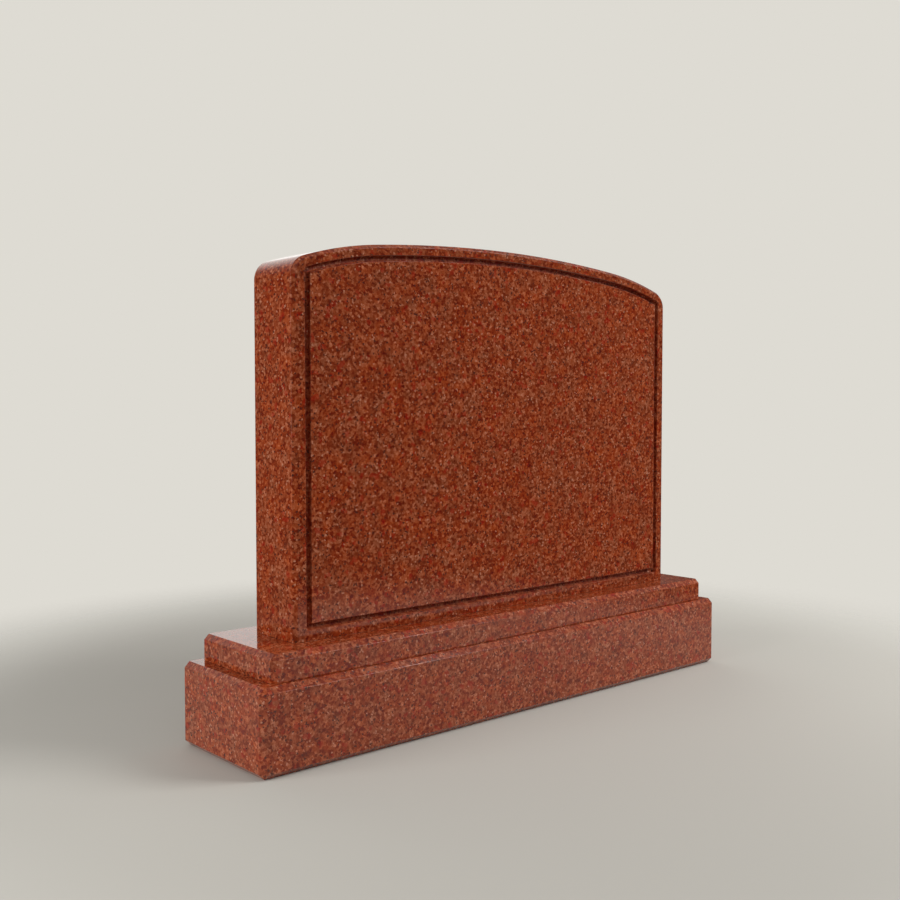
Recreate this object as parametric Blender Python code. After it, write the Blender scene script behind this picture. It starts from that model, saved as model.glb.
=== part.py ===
"""Arched headstone of polished red granite: a tablet on a thin step on a thick base block.

Metres, +Z up. The origin lies under the middle of the base block, on the ground. The front, with the incised border,
faces -Y, and +X is to the right of someone who stands in front of it.
"""
import math

import bmesh
import bpy

# Tablet: the upright slab
TABLET_WIDTH = 0.824
TABLET_THICKNESS = 0.104
TABLET_HEIGHT = 0.577
TABLET_ARRIS = 0.005

# Its head is an arch of five arcs that run into each other: one flat crown, two haunches and two small shoulders
CROWN_RADIUS = 2.609
HAUNCH_RADIUS = 0.633
HAUNCH_RUN = 0.1485
SHOULDER_RADIUS = 0.030

# Border groove in the front of the tablet, cut with a round-nosed wheel
GROOVE_WIDTH = 0.009
GROOVE_WALL_DEPTH = 0.0045
GROOVE_BOWL_DEPTH = 0.0045
GROOVE_SIDE_MARGIN = 0.020
GROOVE_TOP_MARGIN = 0.016
GROOVE_FOOT_MARGIN = 0.0155
GROOVE_TURN_RADIUS = 0.0035

# Step: the thin slab under the tablet, and how far it stands out beyond it
STEP_HEIGHT = 0.038
STEP_SIDE_LEDGE = 0.063
STEP_FRONT_LEDGE = 0.043
STEP_ARRIS = 0.0075

# Base block, and how far it stands out beyond the step
BASE_HEIGHT = 0.122
BASE_SIDE_LEDGE = 0.025
BASE_FRONT_LEDGE = 0.013
BASE_ARRIS = 0.008

# Bed joint between two blocks
BED_JOINT = 0.0003

# How finely the curves are divided
CROWN_SEGMENTS = 12
HAUNCH_SEGMENTS = 8
SHOULDER_SEGMENTS = 10
FOOT_SEGMENTS = 4
BOWL_SEGMENTS = 8


def linear(value):
    """One sRGB channel, 0 to 255, as linear light."""
    share = value / 255.0
    if share <= 0.04045:
        return share / 12.92
    return ((share + 0.055) / 1.055) ** 2.4


def granite(name, red, green, blue, roughness):
    """Polished stone of one average colour."""
    material = bpy.data.materials.new(name)
    material.use_nodes = True
    shader = material.node_tree.nodes["Principled BSDF"]
    shader.inputs["Base Color"].default_value = (linear(red), linear(green), linear(blue), 1.0)
    shader.inputs["Roughness"].default_value = roughness
    shader.inputs["Metallic"].default_value = 0.0
    return material


def add_object(name, bm, material):
    """A scene object made of the bmesh, which is freed."""
    bmesh.ops.recalc_face_normals(bm, faces=bm.faces[:])
    mesh = bpy.data.meshes.new(name)
    bm.to_mesh(mesh)
    bm.free()
    mesh.materials.append(material)
    obj = bpy.data.objects.new(name, mesh)
    bpy.context.scene.collection.objects.link(obj)
    return obj


def level_section(width, depth, inset, arris):
    """Points (x, y) of a block's level section, inset from its sides, with what is left of its cut-off corners."""
    side = width / 2.0 - inset
    end = depth / 2.0 - inset
    cut = max(arris - inset, 0.0)
    return [
        (side - cut, end), (side, end - cut), (side, cut - end), (side - cut, -end),
        (cut - side, -end), (-side, cut - end), (-side, end - cut), (cut - side, end),
    ]


def sawn_block(name, width, depth, height, arris, foot_arris, material):
    """A rectangular block that stands on z = 0, with its upper and upright arrises cut off at 45 degrees.

    foot_arris is how much is cut off round the underside, and 0 for a square foot.
    """
    bm = bmesh.new()
    rows = []
    for inset, z in ((foot_arris, 0.0), (0.0, foot_arris), (0.0, height - arris), (arris, height)):
        rows.append([bm.verts.new((x, y, z)) for x, y in level_section(width, depth, inset, arris)])
    for near, far in zip(rows, rows[1:]):
        for index in range(8):
            following = (index + 1) % 8
            bm.faces.new((near[index], near[following], far[following], far[index]))
    bm.faces.new(rows[0])
    bm.faces.new(rows[-1])
    bmesh.ops.remove_doubles(bm, verts=bm.verts, dist=1e-6)
    return add_object(name, bm, material)


def arc(centre, radius, start, end, segments):
    """Points (x, z) on an arc. Angles run from straight up towards +X."""
    points = []
    for index in range(segments + 1):
        angle = start + (end - start) * index / segments
        points.append((centre[0] + radius * math.sin(angle), centre[1] + radius * math.cos(angle)))
    return points


def square_corner(corner, radius, segments):
    """A sharp corner (x, z), repeated as often as an arc has points."""
    return [corner] * (segments + 1)


def round_corner(corner, radius, segments):
    """Points (x, z) round a corner, from the upright into the foot."""
    centre = (corner[0] - radius, corner[1] + radius)
    return arc(centre, radius, math.pi / 2.0, math.pi, segments)


def outline(side, top, foot, turn, foot_corner, foot_radius):
    """The tablet's closed outline in x and z, moved inwards.

    side, top and foot say how far its uprights, arch and foot lie inside the tablet's own. turn is the radius where
    the arch meets an upright, and foot_corner with its foot_radius shapes the two lower corners.
    """
    half_width = TABLET_WIDTH / 2.0
    crown_end = math.asin((half_width - HAUNCH_RUN) / CROWN_RADIUS)
    crown_centre = (0.0, TABLET_HEIGHT - CROWN_RADIUS)
    between = CROWN_RADIUS - HAUNCH_RADIUS
    haunch_centre = (between * math.sin(crown_end), crown_centre[1] + between * math.cos(crown_end))

    reach = HAUNCH_RADIUS - top - turn
    turn_x = half_width - side - turn
    haunch_end = math.asin((turn_x - haunch_centre[0]) / reach)
    turn_centre = (turn_x, haunch_centre[1] + reach * math.cos(haunch_end))

    right = arc(crown_centre, CROWN_RADIUS - top, 0.0, crown_end, CROWN_SEGMENTS)
    right += arc(haunch_centre, HAUNCH_RADIUS - top, crown_end, haunch_end, HAUNCH_SEGMENTS)[1:]
    right += arc(turn_centre, turn, haunch_end, math.pi / 2.0, SHOULDER_SEGMENTS)[1:]
    right += foot_corner((half_width - side, foot), foot_radius, FOOT_SEGMENTS)
    left = [(-x, z) for x, z in reversed(right[1:])]
    return right + left


def body_outline(inset):
    """The slab's own outline. inset is 0 on its edge faces and the arris on its front and back. The foot is square."""
    turn = max(SHOULDER_RADIUS - inset, 0.0)
    return outline(inset, inset, 0.0, turn, square_corner, 0.0)


def groove_outline(offset):
    """A line along the border groove, offset from the groove's outer edge towards its inner one."""
    from_middle = GROOVE_WIDTH / 2.0 - offset
    return outline(
        GROOVE_SIDE_MARGIN + offset,
        GROOVE_TOP_MARGIN + offset,
        GROOVE_FOOT_MARGIN + offset,
        max(GROOVE_TURN_RADIUS + from_middle, 0.0),
        round_corner,
        max(from_middle, 0.0),
    )


def tablet_rings():
    """Outlines with their y, from the back of the slab over its edge and through the groove to the panel."""
    back = TABLET_THICKNESS / 2.0
    front = -back
    rings = [
        (body_outline(TABLET_ARRIS), back),
        (body_outline(0.0), back - TABLET_ARRIS),
        (body_outline(0.0), front + TABLET_ARRIS),
        (body_outline(TABLET_ARRIS), front),
        (groove_outline(0.0), front),
    ]
    for index in range(BOWL_SEGMENTS + 1):
        angle = math.pi * index / BOWL_SEGMENTS
        offset = GROOVE_WIDTH / 2.0 * (1.0 - math.cos(angle))
        rings.append((groove_outline(offset), front + GROOVE_WALL_DEPTH + GROOVE_BOWL_DEPTH * math.sin(angle)))
    rings.append((groove_outline(GROOVE_WIDTH), front))
    return rings


def arched_slab(name, material):
    """The tablet as one solid that stands on z = 0: a skin over its rings, closed at the back and on the panel."""
    bm = bmesh.new()
    rows = []
    for points, y in tablet_rings():
        rows.append([bm.verts.new((x, y, z)) for x, z in points])
    count = len(rows[0])
    for near, far in zip(rows, rows[1:]):
        for index in range(count):
            following = (index + 1) % count
            bm.faces.new((near[index], near[following], far[following], far[index]))
    bm.faces.new(rows[0])
    bm.faces.new(rows[-1])
    bmesh.ops.remove_doubles(bm, verts=bm.verts, dist=1e-6)
    obj = add_object(name, bm, material)
    obj.data.shade_smooth()
    obj.data.set_sharp_from_angle(angle=math.radians(30.0))
    return obj


def build():
    """The three blocks, one on top of the other."""
    for old in list(bpy.data.objects):
        bpy.data.objects.remove(old, do_unlink=True)

    step_width = TABLET_WIDTH + 2.0 * STEP_SIDE_LEDGE
    step_depth = TABLET_THICKNESS + 2.0 * STEP_FRONT_LEDGE
    base_width = step_width + 2.0 * BASE_SIDE_LEDGE
    base_depth = step_depth + 2.0 * BASE_FRONT_LEDGE

    base_stone = granite("base granite", 136, 76, 60, 0.14)
    step_stone = granite("step granite", 134, 72, 54, 0.13)
    tablet_stone = granite("tablet granite", 124, 60, 40, 0.10)

    sawn_block("base_block", base_width, base_depth, BASE_HEIGHT, BASE_ARRIS, BASE_ARRIS, base_stone)
    step = sawn_block("step_course", step_width, step_depth, STEP_HEIGHT, STEP_ARRIS, 0.0, step_stone)
    step.location.z = BASE_HEIGHT + BED_JOINT
    tablet = arched_slab("headstone_tablet", tablet_stone)
    tablet.location.z = step.location.z + STEP_HEIGHT + BED_JOINT


build()
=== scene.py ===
"""Arched headstone of mirror-polished red granite: a base block, a step and a tablet.

Everything is in metres and in the CAD's frame.
"""

import bmesh
import bpy
import numpy as np
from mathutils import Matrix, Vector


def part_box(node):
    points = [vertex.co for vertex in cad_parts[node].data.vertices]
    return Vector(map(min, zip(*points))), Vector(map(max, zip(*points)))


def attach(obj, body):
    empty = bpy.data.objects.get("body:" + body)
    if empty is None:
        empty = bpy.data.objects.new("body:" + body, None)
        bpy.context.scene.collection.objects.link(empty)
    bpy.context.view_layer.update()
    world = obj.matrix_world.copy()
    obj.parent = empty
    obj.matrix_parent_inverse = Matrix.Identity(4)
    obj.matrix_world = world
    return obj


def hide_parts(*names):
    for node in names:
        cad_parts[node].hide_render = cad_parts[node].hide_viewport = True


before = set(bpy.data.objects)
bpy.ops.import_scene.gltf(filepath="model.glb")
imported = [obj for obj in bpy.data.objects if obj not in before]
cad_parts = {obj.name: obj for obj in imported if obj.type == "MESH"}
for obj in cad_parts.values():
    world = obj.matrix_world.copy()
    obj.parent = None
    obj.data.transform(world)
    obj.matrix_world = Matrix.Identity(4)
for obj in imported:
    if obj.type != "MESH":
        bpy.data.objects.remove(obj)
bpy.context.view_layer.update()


# Base block
# The lowest stone, sawn from a thick slab of medium-grained red granite. Its faces and its cut-off
# arrises are polished to a mirror, and its underside, on which the stone stands, is left as the saw
# cut it.

BASE_LOW, BASE_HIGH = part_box("base_block")
BASE_ARRIS = 0.008

# Polishing rounds the edge between two faces a little, and the faces beside it stay flat
ARRIS_EASE = 0.0003
EASE_STEPS = 4
EDGE_HOLD = 0.0003
EASE_SHARE = 0.45
HOLD_SHARE = 0.04
NO_LENGTH = 1e-9
WELD_REACH = 2e-6
CREASE_DEG = 24.0


def eased(corners, radius, steps, closed):
    """A polyline whose corners are rounded off.

    Each corner C turns into a short arc from A to B, which lie the same distance before and after
    it: the points (1 - s)^2 A + 2 s (1 - s) C + s^2 B for s from 0 to 1. That distance is radius
    times the tangent of half the turn, and at most EASE_SHARE of the shorter side. One more point
    stands EDGE_HOLD before and after each arc, or HOLD_SHARE of the shorter side if that is less,
    so that the flats beside it are shaded flat. The ends of an open polyline stay as they are.
    """
    corners = np.asarray(corners, float)
    before = np.roll(corners, 1, axis=0) - corners
    after = np.roll(corners, -1, axis=0) - corners
    length_before = np.linalg.norm(before, axis=1, keepdims=True)
    length_after = np.linalg.norm(after, axis=1, keepdims=True)
    way_back = before / np.maximum(length_before, NO_LENGTH)
    way_on = after / np.maximum(length_after, NO_LENGTH)
    turn = np.pi - np.arccos(np.clip((way_back * way_on).sum(axis=1, keepdims=True), -1.0, 1.0))
    shorter = np.minimum(length_before, length_after)
    reach = np.minimum(radius * np.tan(turn / 2.0), EASE_SHARE * shorter)
    hold = np.minimum(EDGE_HOLD, HOLD_SHARE * shorter)
    if not closed:
        reach[[0, -1]] = 0.0
    s = np.linspace(0.0, 1.0, steps + 1)[None, :, None]
    start = (corners + reach * way_back)[:, None, :]
    end = (corners + reach * way_on)[:, None, :]
    bend = (1.0 - s) ** 2 * start + 2.0 * s * (1.0 - s) * corners[:, None, :] + s**2 * end
    hold_before = start + (hold * way_back)[:, None, :]
    hold_after = end + (hold * way_on)[:, None, :]
    points = np.concatenate([hold_before, bend, hold_after], axis=1)
    if closed:
        return points.reshape(-1, 2)
    return np.concatenate([corners[:1], points[1:-1].reshape(-1, 2), corners[-1:]])


def skin(name, rings, second_from=0, second_to=0):
    """A closed mesh over rings of points, with a flat face on the first and on the last ring.

    rings is an array (ring, point, xyz). Point i of ring r joins point i + 1, and the same two of
    ring r + 1, into one quad. Points that fall together, as at a sharp corner, are merged. The
    faces from ring second_from to ring second_to take the second material.
    """
    count, size = rings.shape[:2]
    ring = np.arange(count - 1)[:, None] * size
    near = np.arange(size)[None, :]
    far = (near + 1) % size
    quads = np.stack([ring + near, ring + far, ring + size + far, ring + size + near], axis=-1)
    caps = [list(range(size))[::-1], list(range((count - 1) * size, count * size))]
    mesh = bpy.data.meshes.new(name)
    mesh.from_pydata(rings.reshape(-1, 3).tolist(), [], quads.reshape(-1, 4).tolist() + caps)
    band = np.arange(len(mesh.polygons)) // size
    is_second = (band >= second_from) & (band < second_to)
    mesh.polygons.foreach_set("material_index", is_second.astype(np.int32))
    bm = bmesh.new()
    bm.from_mesh(mesh)
    bmesh.ops.remove_doubles(bm, verts=bm.verts, dist=WELD_REACH)
    bmesh.ops.recalc_face_normals(bm, faces=bm.faces[:])
    bm.to_mesh(mesh)
    bm.free()
    mesh.shade_smooth()
    mesh.set_sharp_from_angle(angle=np.radians(CREASE_DEG))
    piece = bpy.data.objects.new(name, mesh)
    bpy.context.scene.collection.objects.link(piece)
    return piece


def sawn_block(name, low, high, arris, foot):
    """A rectangular block from corner low to corner high, its arrises cut off at 45 degrees and eased.

    A level section at inset d from the sides is a rectangle whose corners are cut off by arris - d.
    The upright profile gives d and z. foot lists where it starts, from the underside to the side
    face. It runs on up the side and back over the upper arris.
    """
    height = high.z - low.z
    head = [(0.0, height - arris), (arris, height), (arris * 2.0, height)]
    profile = eased(foot + head, ARRIS_EASE, EASE_STEPS, closed=False)
    half = np.array([(high.x - low.x) / 2.0, (high.y - low.y) / 2.0])
    middle = np.array([(high.x + low.x) / 2.0, (high.y + low.y) / 2.0])
    rings = []
    for inset, rise in profile:
        cut = max(arris - inset, 0.0)
        side, end = half - inset
        corners = np.array([
            (side - cut, end), (side, end - cut), (side, cut - end), (side - cut, -end),
            (cut - side, -end), (-side, cut - end), (-side, end - cut), (cut - side, end),
        ])
        outline = eased(corners, ARRIS_EASE, EASE_STEPS, closed=True) + middle
        rings.append(np.column_stack([outline, np.full(len(outline), low.z + rise)]))
    return skin(name, np.array(rings))


def linear(hex_colour):
    """An sRGB colour written as hex, as linear red, green, blue and alpha."""
    channels = np.array([int(hex_colour[i:i + 2], 16) for i in (1, 3, 5)]) / 255.0
    light = np.where(channels <= 0.04045, channels / 12.92, ((channels + 0.055) / 1.055) ** 2.4)
    return (*light.tolist(), 1.0)


def add(tree, kind, settings=None, **links):
    """Adds a node.

    Settings are its properties. Links are its inputs by name, or by number after an underscore: a
    socket is linked, and a value is set.
    """
    node = tree.nodes.new(kind)
    for key, value in (settings or {}).items():
        setattr(node, key, value)
    for key, value in links.items():
        socket = node.inputs[int(key[1:])] if key[1:].isdigit() else node.inputs[key.replace("_", " ")]
        if isinstance(value, bpy.types.NodeSocket):
            tree.links.new(value, socket)
        else:
            socket.default_value = value
    return node


def set_stops(ramp, stops):
    """Gives a colour ramp its stops, pairs of place and hex colour."""
    elements = ramp.color_ramp.elements
    while len(elements) > 1:
        elements.remove(elements[-1])
    for index, (place, colour) in enumerate(stops):
        element = elements[0] if index == 0 else elements.new(place)
        element.position = place
        element.color = linear(colour)


# Minerals of the granite, the two most common ones from their darkest grains to their palest
POTASH_FELDSPAR = [
    (0.00, "#5C0804"), (0.15, "#731605"), (0.35, "#8A2A06"), (0.55, "#9D3D14"),
    (0.75, "#B15228"), (0.90, "#C46A44"), (1.00, "#D88664"),
]
QUARTZ_AND_PLAGIOCLASE = [
    (0.00, "#4C0C05"), (0.15, "#641F06"), (0.35, "#7D3416"), (0.55, "#90482B"),
    (0.75, "#A45D40"), (0.90, "#B87558"), (1.00, "#CB8E72"),
]
IRON_RED_FELDSPAR = "#A11806"
DARK_MICA = "#52251A"
# Not a mineral's own colour: a painted highlight, pale specks that stand in for glints off cleavage
# faces
PAINTED_GLINT = "#BE7E62"
SAWN_DUST = "#B79C8E"

# How large the grains are
GRAIN_MM = 3.7
LARGE_GRAIN_MM = 6.5
FLECK_MM = 2.3
CLUSTER_MM = 22.0
CLUSTER_ROUGHNESS = 0.5
BORDER_WAVE_MM = 2.2
BORDER_REACH = 0.0022
BORDER_ROUGHNESS = 0.55
NOISE_DETAIL = 2.0

# How much of each mineral there is, and what a crystal's tone is made up of
CLUSTER_CONTRAST = 2.1
CLUSTER_START = -0.65
CHANCE_SHARE = 0.2
CRYSTAL_TONE = 0.60
LARGE_GRAIN_TONE = 0.17
FLECK_TONE = 0.23
IRON_RED_SHARE = 0.06
IRON_RED_STRENGTH = 0.45
MICA_SHARE = 0.05
PAINTED_GLINT_SHARE = 0.015

# Surface: the mirror polish, the mica's shallow pits, and the sawn underside
GRANITE_IOR = 1.53
POLISH = 0.09
POLISH_SPREAD = 0.03
MICA_ROUGHNESS = 0.2
PIT_DEPTH = 0.00002
PIT_FLOOR = 0.05
PIT_RIM = 0.4
FACING_DOWN = -0.99
DUST_COVER = 0.55
SAWN_ROUGHNESS = 0.78


def polished_red_granite(name, block_offset, roughness=POLISH):
    """Medium-grained red granite under a mirror polish, sawn on the underside.

    Brick-red potash feldspar and brownish quartz with plagioclase lie in clusters CLUSTER_MM
    across, each crystal about GRAIN_MM. Single larger feldspars are redder with iron, and flakes of
    dark mica lie between. Here and there a pale speck is painted into the colour as a glint off a
    cleavage face, which is a painted highlight. The polish brings out the colour of every crystal and
    mirrors the surroundings, except on the mica, which stays a little dull and sunk. block_offset
    moves the pattern, because two blocks never show the same crystals.
    A face that was only ground has a higher roughness.
    """
    material = bpy.data.materials.new(name)
    material.use_nodes = True
    tree = material.node_tree
    shader = tree.nodes["Principled BSDF"]
    shader.inputs["IOR"].default_value = GRANITE_IOR
    coordinates = add(tree, "ShaderNodeTexCoord")
    place = add(tree, "ShaderNodeVectorMath", {"operation": "ADD"},
                _0=coordinates.outputs["Object"], _1=block_offset).outputs[0]

    # Crystals have grown into each other, so their borders wander by about a millimetre
    wave = add(tree, "ShaderNodeTexNoise", Vector=place, Scale=1000.0 / BORDER_WAVE_MM,
               Detail=NOISE_DETAIL, Roughness=BORDER_ROUGHNESS)
    wave = add(tree, "ShaderNodeVectorMath", {"operation": "SUBTRACT"},
               _0=wave.outputs["Color"], _1=(0.5, 0.5, 0.5))
    wave = add(tree, "ShaderNodeVectorMath", {"operation": "SCALE"},
               _0=wave.outputs[0], Scale=BORDER_REACH)
    waved = add(tree, "ShaderNodeVectorMath", {"operation": "ADD"},
                _0=place, _1=wave.outputs[0]).outputs[0]

    crystal = add(tree, "ShaderNodeTexVoronoi", Vector=waved, Scale=1000.0 / GRAIN_MM)
    crystal = add(tree, "ShaderNodeSeparateColor", _0=crystal.outputs["Color"])
    large = add(tree, "ShaderNodeTexVoronoi", Vector=waved, Scale=1000.0 / LARGE_GRAIN_MM)
    large = add(tree, "ShaderNodeSeparateColor", _0=large.outputs["Color"])
    fleck = add(tree, "ShaderNodeTexVoronoi", Vector=waved, Scale=1000.0 / FLECK_MM)
    fleck_middle = add(tree, "ShaderNodeMapRange", {"interpolation_type": "SMOOTHSTEP"},
                       Value=fleck.outputs["Distance"], _1=PIT_FLOOR, _2=PIT_RIM, _3=1.0, _4=0.0)
    fleck = add(tree, "ShaderNodeSeparateColor", _0=fleck.outputs["Color"])
    cluster = add(tree, "ShaderNodeTexNoise", Vector=place, Scale=1000.0 / CLUSTER_MM,
                  Detail=NOISE_DETAIL, Roughness=CLUSTER_ROUGHNESS)

    # How much feldspar a place holds follows its cluster, and for the rest chance
    feldspar = add(tree, "ShaderNodeMath", {"operation": "MULTIPLY_ADD"},
                   _0=cluster.outputs["Fac"], _1=CLUSTER_CONTRAST, _2=CLUSTER_START)
    feldspar = add(tree, "ShaderNodeMath", {"operation": "MULTIPLY_ADD", "use_clamp": True},
                   _0=crystal.outputs[1], _1=CHANCE_SHARE, _2=feldspar.outputs[0])
    tone = add(tree, "ShaderNodeMath", {"operation": "MULTIPLY"},
               _0=crystal.outputs[0], _1=CRYSTAL_TONE)
    tone = add(tree, "ShaderNodeMath", {"operation": "MULTIPLY_ADD"},
               _0=large.outputs[2], _1=LARGE_GRAIN_TONE, _2=tone.outputs[0])
    tone = add(tree, "ShaderNodeMath", {"operation": "MULTIPLY_ADD"},
               _0=fleck.outputs[2], _1=FLECK_TONE, _2=tone.outputs[0])
    red = add(tree, "ShaderNodeValToRGB", Fac=tone.outputs[0])
    set_stops(red, POTASH_FELDSPAR)
    brown = add(tree, "ShaderNodeValToRGB", Fac=tone.outputs[0])
    set_stops(brown, QUARTZ_AND_PLAGIOCLASE)
    colour = add(tree, "ShaderNodeMix", {"data_type": "RGBA"},
                 _0=feldspar.outputs[0], _6=brown.outputs[0], _7=red.outputs[0])

    # The rarer grains and the painted glints go over that, the largest first
    is_iron_red = add(tree, "ShaderNodeMath", {"operation": "LESS_THAN"},
                      _0=large.outputs[0], _1=IRON_RED_SHARE)
    iron_red = add(tree, "ShaderNodeMath", {"operation": "MULTIPLY"},
                   _0=is_iron_red.outputs[0], _1=IRON_RED_STRENGTH)
    colour = add(tree, "ShaderNodeMix", {"data_type": "RGBA"},
                 _0=iron_red.outputs[0], _6=colour.outputs[2], _7=linear(IRON_RED_FELDSPAR))
    # Painted highlight: a share of the small specks takes a fixed pale colour in place of a glint off
    # a cleavage face
    is_painted_glint = add(tree, "ShaderNodeMath", {"operation": "LESS_THAN"},
                   _0=fleck.outputs[1], _1=PAINTED_GLINT_SHARE)
    colour = add(tree, "ShaderNodeMix", {"data_type": "RGBA"},
                 _0=is_painted_glint.outputs[0], _6=colour.outputs[2], _7=linear(PAINTED_GLINT))
    is_mica = add(tree, "ShaderNodeMath", {"operation": "LESS_THAN"},
                  _0=fleck.outputs[0], _1=MICA_SHARE)
    colour = add(tree, "ShaderNodeMix", {"data_type": "RGBA"},
                 _0=is_mica.outputs[0], _6=colour.outputs[2], _7=linear(DARK_MICA))

    # Each crystal takes the polish a little differently, and the mica is duller and sunk
    gloss = add(tree, "ShaderNodeMath", {"operation": "MULTIPLY_ADD"},
                _0=crystal.outputs[2], _1=POLISH_SPREAD, _2=roughness - POLISH_SPREAD / 2.0)
    gloss = add(tree, "ShaderNodeMix",
                _0=is_mica.outputs[0], _2=gloss.outputs[0], _3=max(roughness, MICA_ROUGHNESS))
    pit = add(tree, "ShaderNodeMath", {"operation": "MULTIPLY"},
              _0=is_mica.outputs[0], _1=fleck_middle.outputs[0])
    sunk = add(tree, "ShaderNodeBump", {"invert": True},
               Strength=1.0, Distance=PIT_DEPTH, Height=pit.outputs[0])

    # The underside keeps the saw's matt, dusty face
    facing = add(tree, "ShaderNodeSeparateXYZ", Vector=coordinates.outputs["Normal"])
    is_sawn = add(tree, "ShaderNodeMath", {"operation": "LESS_THAN"},
                  _0=facing.outputs["Z"], _1=FACING_DOWN)
    dust = add(tree, "ShaderNodeMath", {"operation": "MULTIPLY"},
               _0=is_sawn.outputs[0], _1=DUST_COVER)
    colour = add(tree, "ShaderNodeMix", {"data_type": "RGBA"},
                 _0=dust.outputs[0], _6=colour.outputs[2], _7=linear(SAWN_DUST))
    gloss = add(tree, "ShaderNodeMix",
                _0=is_sawn.outputs[0], _2=gloss.outputs[0], _3=SAWN_ROUGHNESS)
    tree.links.new(colour.outputs[2], shader.inputs["Base Color"])
    tree.links.new(gloss.outputs[0], shader.inputs["Roughness"])
    tree.links.new(sunk.outputs[0], shader.inputs["Normal"])
    return material


cut_foot = [(BASE_ARRIS * 2.0, 0.0), (BASE_ARRIS, 0.0), (0.0, BASE_ARRIS)]
base = sawn_block("base_stone", BASE_LOW, BASE_HIGH, BASE_ARRIS, cut_foot)
base.data.materials.append(polished_red_granite("polished_granite_base", (3.1, 0.7, 1.9)))
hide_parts("base_block")
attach(base, "root")


# Step
# A thin slab of the same stone between base and tablet, polished all round. Its upper and upright
# arrises are cut off, and its foot is square. It lies in the middle of the base block and leaves an
# even ledge of it free.

STEP_LOW, STEP_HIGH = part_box("step_course")
STEP_ARRIS = 0.0075

square_foot = [(STEP_ARRIS * 2.0, 0.0), (0.0, 0.0)]
step = sawn_block("step_stone", STEP_LOW, STEP_HIGH, STEP_ARRIS, square_foot)
step.data.materials.append(polished_red_granite("polished_granite_step", (8.3, 2.2, 5.4)))
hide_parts("step_course")
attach(step, "root")


# Tablet
# The upright slab, cut to an arch by a diamond wire and polished on every face, with a square foot.
# A round-nosed wheel has run one border groove into its front, parallel to the outline, and left it
# ground and matt. The panel inside it is bare.

TABLET_LOW, TABLET_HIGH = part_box("headstone_tablet")
TABLET_ARRIS = 0.005
CROWN_RADIUS = 2.609
HAUNCH_RADIUS = 0.633
HAUNCH_RUN = 0.1485
SHOULDER_RADIUS = 0.030
CROWN_STEPS = 40
HAUNCH_STEPS = 20
SHOULDER_STEPS = 24
UPRIGHT_HOLD = 0.001

GROOVE_WIDTH = 0.009
GROOVE_WALL_DEPTH = 0.0045
GROOVE_BOWL_DEPTH = 0.0045
GROOVE_SIDE_MARGIN = 0.020
GROOVE_TOP_MARGIN = 0.016
GROOVE_FOOT_MARGIN = 0.0155
GROOVE_TURN_RADIUS = 0.0035
GROOVE_LIP = 0.0005
BOWL_STEPS = 16
LIP_STEPS = 3
CORNER_STEPS = 6
GROUND_ROUGHNESS = 0.6
GROUND_SPECULAR = 0.2
TABLET_OFFSET = (0.4, 6.6, 9.2)


def arc(centre, radius, start, end, steps):
    """Points (x, z) on an arc: centre + radius (sin a, cos a) for the angle a from start to end.

    The angle runs from straight up towards +X.
    """
    angle = np.linspace(start, end, steps + 1)
    return np.column_stack([centre[0] + radius * np.sin(angle), centre[1] + radius * np.cos(angle)])


def arched_outline(side, top, foot, turn, lower_corner):
    """The tablet's closed outline (x, z), moved inwards by side, top and foot.

    Five arcs run into each other: a crown round (0, height - CROWN_RADIUS), two haunches whose
    centre lies on the crown's last radius, and two arcs of radius turn that touch haunch and
    upright. A point UPRIGHT_HOLD below the last arc keeps the upright shaded flat. lower_corner
    gives the points of a lower corner relative to it, from the upright into the foot.
    """
    half_width = (TABLET_HIGH.x - TABLET_LOW.x) / 2.0
    height = TABLET_HIGH.z - TABLET_LOW.z
    crown_end = np.arcsin((half_width - HAUNCH_RUN) / CROWN_RADIUS)
    crown_centre = np.array([0.0, height - CROWN_RADIUS])
    last_radius = np.array([np.sin(crown_end), np.cos(crown_end)])
    haunch_centre = crown_centre + (CROWN_RADIUS - HAUNCH_RADIUS) * last_radius
    reach = HAUNCH_RADIUS - top - turn
    turn_x = half_width - side - turn
    haunch_end = np.arcsin((turn_x - haunch_centre[0]) / reach)
    turn_centre = (turn_x, haunch_centre[1] + reach * np.cos(haunch_end))
    right = np.concatenate([
        arc(crown_centre, CROWN_RADIUS - top, 0.0, crown_end, CROWN_STEPS),
        arc(haunch_centre, HAUNCH_RADIUS - top, crown_end, haunch_end, HAUNCH_STEPS)[1:],
        arc(turn_centre, turn, haunch_end, np.pi / 2.0, SHOULDER_STEPS)[1:],
        [(half_width - side, turn_centre[1] - UPRIGHT_HOLD)],
        lower_corner + np.array([half_width - side, foot]),
    ])
    left = right[:0:-1] * np.array([-1.0, 1.0])
    return np.concatenate([right, left])


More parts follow.
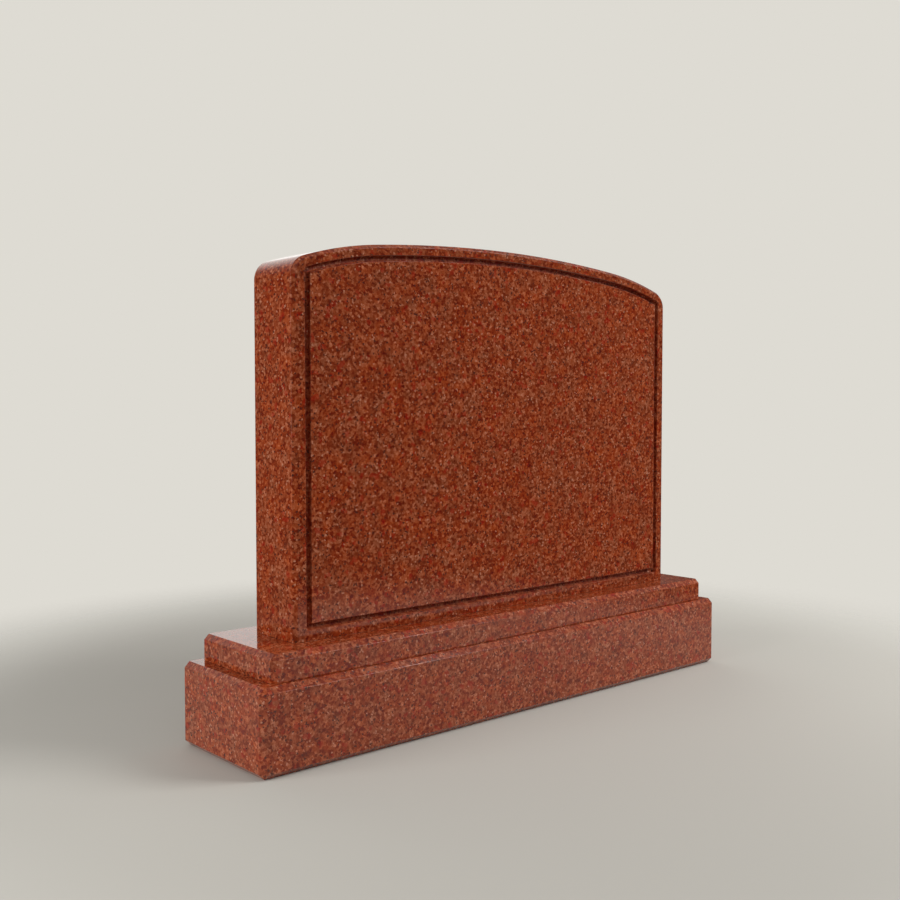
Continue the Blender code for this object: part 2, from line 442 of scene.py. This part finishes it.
def tablet_rings():
    """Rings of points from the back of the slab over its edge and through the groove to the panel.

    Two profiles are carried along the outline. The slab's gives inset and y: in from the back face,
    round the back arris, over the edge, round the front arris. The foot is square, so it moves only
    by what inset exceeds the arris by. The groove's gives the offset from its outer edge, and y: a
    rounded lip, a short wall, a bowl (half width (1 - cos a), bowl depth sin a), the other wall and
    its lip. The numbers of the groove's first and last ring are returned too.
    """
    back = (TABLET_HIGH.y - TABLET_LOW.y) / 2.0
    slab = eased(
        [
            (TABLET_ARRIS * 2.0, back), (TABLET_ARRIS, back), (0.0, back - TABLET_ARRIS),
            (0.0, TABLET_ARRIS - back), (TABLET_ARRIS, -back), (TABLET_ARRIS * 2.0, -back),
        ],
        ARRIS_EASE, EASE_STEPS, closed=False,
    )
    half_circle = np.linspace(0.0, np.pi, BOWL_STEPS + 1)
    bowl = np.column_stack([
        GROOVE_WIDTH / 2.0 * (1.0 - np.cos(half_circle)),
        GROOVE_WALL_DEPTH + GROOVE_BOWL_DEPTH * np.sin(half_circle) - back,
    ])
    quarter = np.linspace(0.0, np.pi / 2.0, LIP_STEPS + 1)
    lip_in = np.column_stack([
        GROOVE_LIP * (np.sin(quarter) - 1.0),
        GROOVE_LIP * (1.0 - np.cos(quarter)) - back,
    ])
    lip_in = np.concatenate([[(-GROOVE_LIP - EDGE_HOLD, -back)], lip_in])
    lip_out = np.column_stack([GROOVE_WIDTH - lip_in[::-1, 0], lip_in[::-1, 1]])
    groove = np.concatenate([lip_in, bowl, lip_out])

    # A lower corner has as many points on every ring: an arc, or one point repeated, and one more
    # at each end, which keeps the upright and the foot beside it shaded flat
    beside = np.zeros((CORNER_STEPS + 3, 2))
    beside[0, 1] = UPRIGHT_HOLD
    beside[-1, 0] = -UPRIGHT_HOLD
    rings = []
    for inset, y in slab:
        foot = max(inset - TABLET_ARRIS, 0.0)
        ring = arched_outline(inset, inset, foot, SHOULDER_RADIUS - inset, beside)
        rings.append(np.insert(ring, 1, y, axis=1))
    for offset, y in groove:
        from_middle = GROOVE_WIDTH / 2.0 - offset
        radius = max(from_middle, 0.0)
        corner = arc((-radius, radius), radius, np.pi / 2.0, np.pi, CORNER_STEPS)
        ring = arched_outline(
            GROOVE_SIDE_MARGIN + offset,
            GROOVE_TOP_MARGIN + offset,
            GROOVE_FOOT_MARGIN + offset,
            max(GROOVE_TURN_RADIUS + from_middle, 0.0),
            np.concatenate([corner[:1], corner, corner[-1:]]) + beside,
        )
        rings.append(np.insert(ring, 1, y, axis=1))
    middle = np.array([
        (TABLET_LOW.x + TABLET_HIGH.x) / 2.0, (TABLET_LOW.y + TABLET_HIGH.y) / 2.0, TABLET_LOW.z,
    ])
    return np.array(rings) + middle, len(slab) + 1, len(rings) - 2


tablet = skin("tablet_stone", *tablet_rings())
tablet_stone = polished_red_granite("polished_granite_tablet", TABLET_OFFSET)
groove_stone = polished_red_granite("wheel_ground_granite_groove", TABLET_OFFSET, GROUND_ROUGHNESS)
groove_shader = groove_stone.node_tree.nodes["Principled BSDF"]
groove_shader.inputs["Specular IOR Level"].default_value = GROUND_SPECULAR
tablet.data.materials.append(tablet_stone)
tablet.data.materials.append(groove_stone)
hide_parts("headstone_tablet")
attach(tablet, "root")


# Studio
# A pale matt floor fades into a pale surround. Soft lights stand at both sides and in front. The
# polish mirrors a dim room with a lit ceiling, and a bright wall that stands behind the stone.

SURROUND = "#DEDBD3"
FLOOR_PAINT = "#C3C0B8"
FLOOR_SIZE = 12.0
FLOOR_DROP = 0.0002
FLOOR_ROUGHNESS = 0.9
FLOOR_SPECULAR = 0.1
FADE_START = 0.75
FADE_END = 1.4

floor_mesh = bpy.data.meshes.new("studio_floor")
floor_corners = np.array([(-1, -1), (1, -1), (1, 1), (-1, 1)]) * FLOOR_SIZE
floor_corners = np.insert(floor_corners, 2, -FLOOR_DROP, axis=1).tolist()
floor_mesh.from_pydata(floor_corners, [], [(0, 1, 2, 3)])
floor = bpy.data.objects.new("studio_floor", floor_mesh)
bpy.context.scene.collection.objects.link(floor)
paint = bpy.data.materials.new("matt_floor_paint")
paint.use_nodes = True
paint_tree = paint.node_tree
paint_shader = paint_tree.nodes["Principled BSDF"]
paint_shader.inputs["Base Color"].default_value = linear(FLOOR_PAINT)
paint_shader.inputs["Roughness"].default_value = FLOOR_ROUGHNESS
paint_shader.inputs["Specular IOR Level"].default_value = FLOOR_SPECULAR
floor_place = add(paint_tree, "ShaderNodeTexCoord").outputs["Object"]
from_stone = add(paint_tree, "ShaderNodeVectorMath", {"operation": "LENGTH"}, _0=floor_place)
fade = add(paint_tree, "ShaderNodeMapRange", {"interpolation_type": "SMOOTHSTEP"},
           Value=from_stone.outputs["Value"], _1=FADE_START, _2=FADE_END, _3=1.0, _4=0.0)
paint_tree.links.new(fade.outputs[0], paint_shader.inputs["Alpha"])
floor_mesh.materials.append(paint)

# What the room looks like by direction, with heights as the sine of the angle above the horizon
AIR_STRENGTH = 1.35
DIM_ROOM = "#3E3D3B"
CEILING = "#878786"
CEILING_START = 0.15
CEILING_END = 0.55
BACK_WALL = "#F8F6F2"
BACK_WALL_DIRECTION = (0.282, 0.924, 0.259)
BACK_WALL_EDGE = 0.80
BACK_WALL_MIDDLE = 0.95
HORIZON_START = -0.02
HORIZON_END = 0.03

world = bpy.data.worlds.new("studio")
world.use_nodes = True
bpy.context.scene.world = world
air = world.node_tree
air.nodes.clear()
direction = add(air, "ShaderNodeTexCoord").outputs["Generated"]
height = add(air, "ShaderNodeSeparateXYZ", Vector=direction).outputs["Z"]
overhead = add(air, "ShaderNodeMapRange", {"interpolation_type": "SMOOTHSTEP"},
               Value=height, _1=CEILING_START, _2=CEILING_END)
room = add(air, "ShaderNodeMix", {"data_type": "RGBA"},
           _0=overhead.outputs[0], _6=linear(DIM_ROOM), _7=linear(CEILING))
towards_wall = add(air, "ShaderNodeVectorMath", {"operation": "DOT_PRODUCT"},
                   _0=direction, _1=BACK_WALL_DIRECTION)
wall_share = add(air, "ShaderNodeMapRange", {"interpolation_type": "SMOOTHSTEP"},
                 Value=towards_wall.outputs["Value"], _1=BACK_WALL_EDGE, _2=BACK_WALL_MIDDLE)
above_floor = add(air, "ShaderNodeMapRange", Value=height, _1=HORIZON_START, _2=HORIZON_END)
wall_share = add(air, "ShaderNodeMath", {"operation": "MULTIPLY"},
                 _0=wall_share.outputs[0], _1=above_floor.outputs[0])
backdrop = add(air, "ShaderNodeMix", {"data_type": "RGBA"},
               _0=wall_share.outputs[0], _6=room.outputs[2], _7=linear(BACK_WALL))
lit_air = add(air, "ShaderNodeBackground", Color=backdrop.outputs[2], Strength=AIR_STRENGTH)
seen_air = add(air, "ShaderNodeBackground", Color=linear(SURROUND), Strength=1.0)
seen = add(air, "ShaderNodeLightPath").outputs["Is Camera Ray"]
mixed = add(air, "ShaderNodeMixShader", _0=seen, _1=lit_air.outputs[0], _2=seen_air.outputs[0])
add(air, "ShaderNodeOutputWorld", Surface=mixed.outputs[0])

# Name, place, what it faces, width, height and watts of each light
SOFTBOXES = [
    ("left_softbox", (-2.4, 0.25, 0.9), (0.0, 0.25, 0.5), 1.4, 1.6, 31.5),
    ("right_softbox", (2.4, -0.2, 0.55), (0.0, -0.2, 0.5), 1.4, 0.9, 11.0),
    ("front_softbox", (1.9, -1.9, 2.3), (0.0, 0.0, 0.4), 1.5, 1.5, 75.0),
    ("fill_softbox", (-1.6, -2.4, 1.9), (0.0, 0.0, 0.4), 1.2, 1.2, 5.0),
]


def softbox(name, place, target, width, height, watts):
    """A white rectangular area light at place that faces target."""
    lamp = bpy.data.lights.new(name, "AREA")
    lamp.shape = "RECTANGLE"
    lamp.size = width
    lamp.size_y = height
    lamp.energy = watts
    light = bpy.data.objects.new(name, lamp)
    light.location = place
    aim = np.array(target) - np.array(place)
    tilt = np.arctan2(np.hypot(aim[0], aim[1]), -aim[2])
    light.rotation_euler = (tilt, 0.0, np.arctan2(-aim[0], aim[1]))
    bpy.context.scene.collection.objects.link(light)


for light_settings in SOFTBOXES:
    softbox(*light_settings)

# Camera at the photograph's angle
CAMERA_PLACE = (-1.2426, -1.3101, 0.4952)
CAMERA_YAW_DEG = 41.633
CAMERA_PITCH_DEG = -2.529
CAMERA_LENS_MM = 43.456
CAMERA_SENSOR_MM = 36.0

camera_data = bpy.data.cameras.new("camera")
camera_data.sensor_width = CAMERA_SENSOR_MM
camera_data.lens = CAMERA_LENS_MM
camera = bpy.data.objects.new("camera", camera_data)
camera.location = CAMERA_PLACE
camera.rotation_euler = (np.radians(90.0 + CAMERA_PITCH_DEG), 0.0, -np.radians(CAMERA_YAW_DEG))
bpy.context.scene.collection.objects.link(camera)
bpy.context.scene.camera = camera
bpy.context.scene.view_settings.view_transform = "Standard"
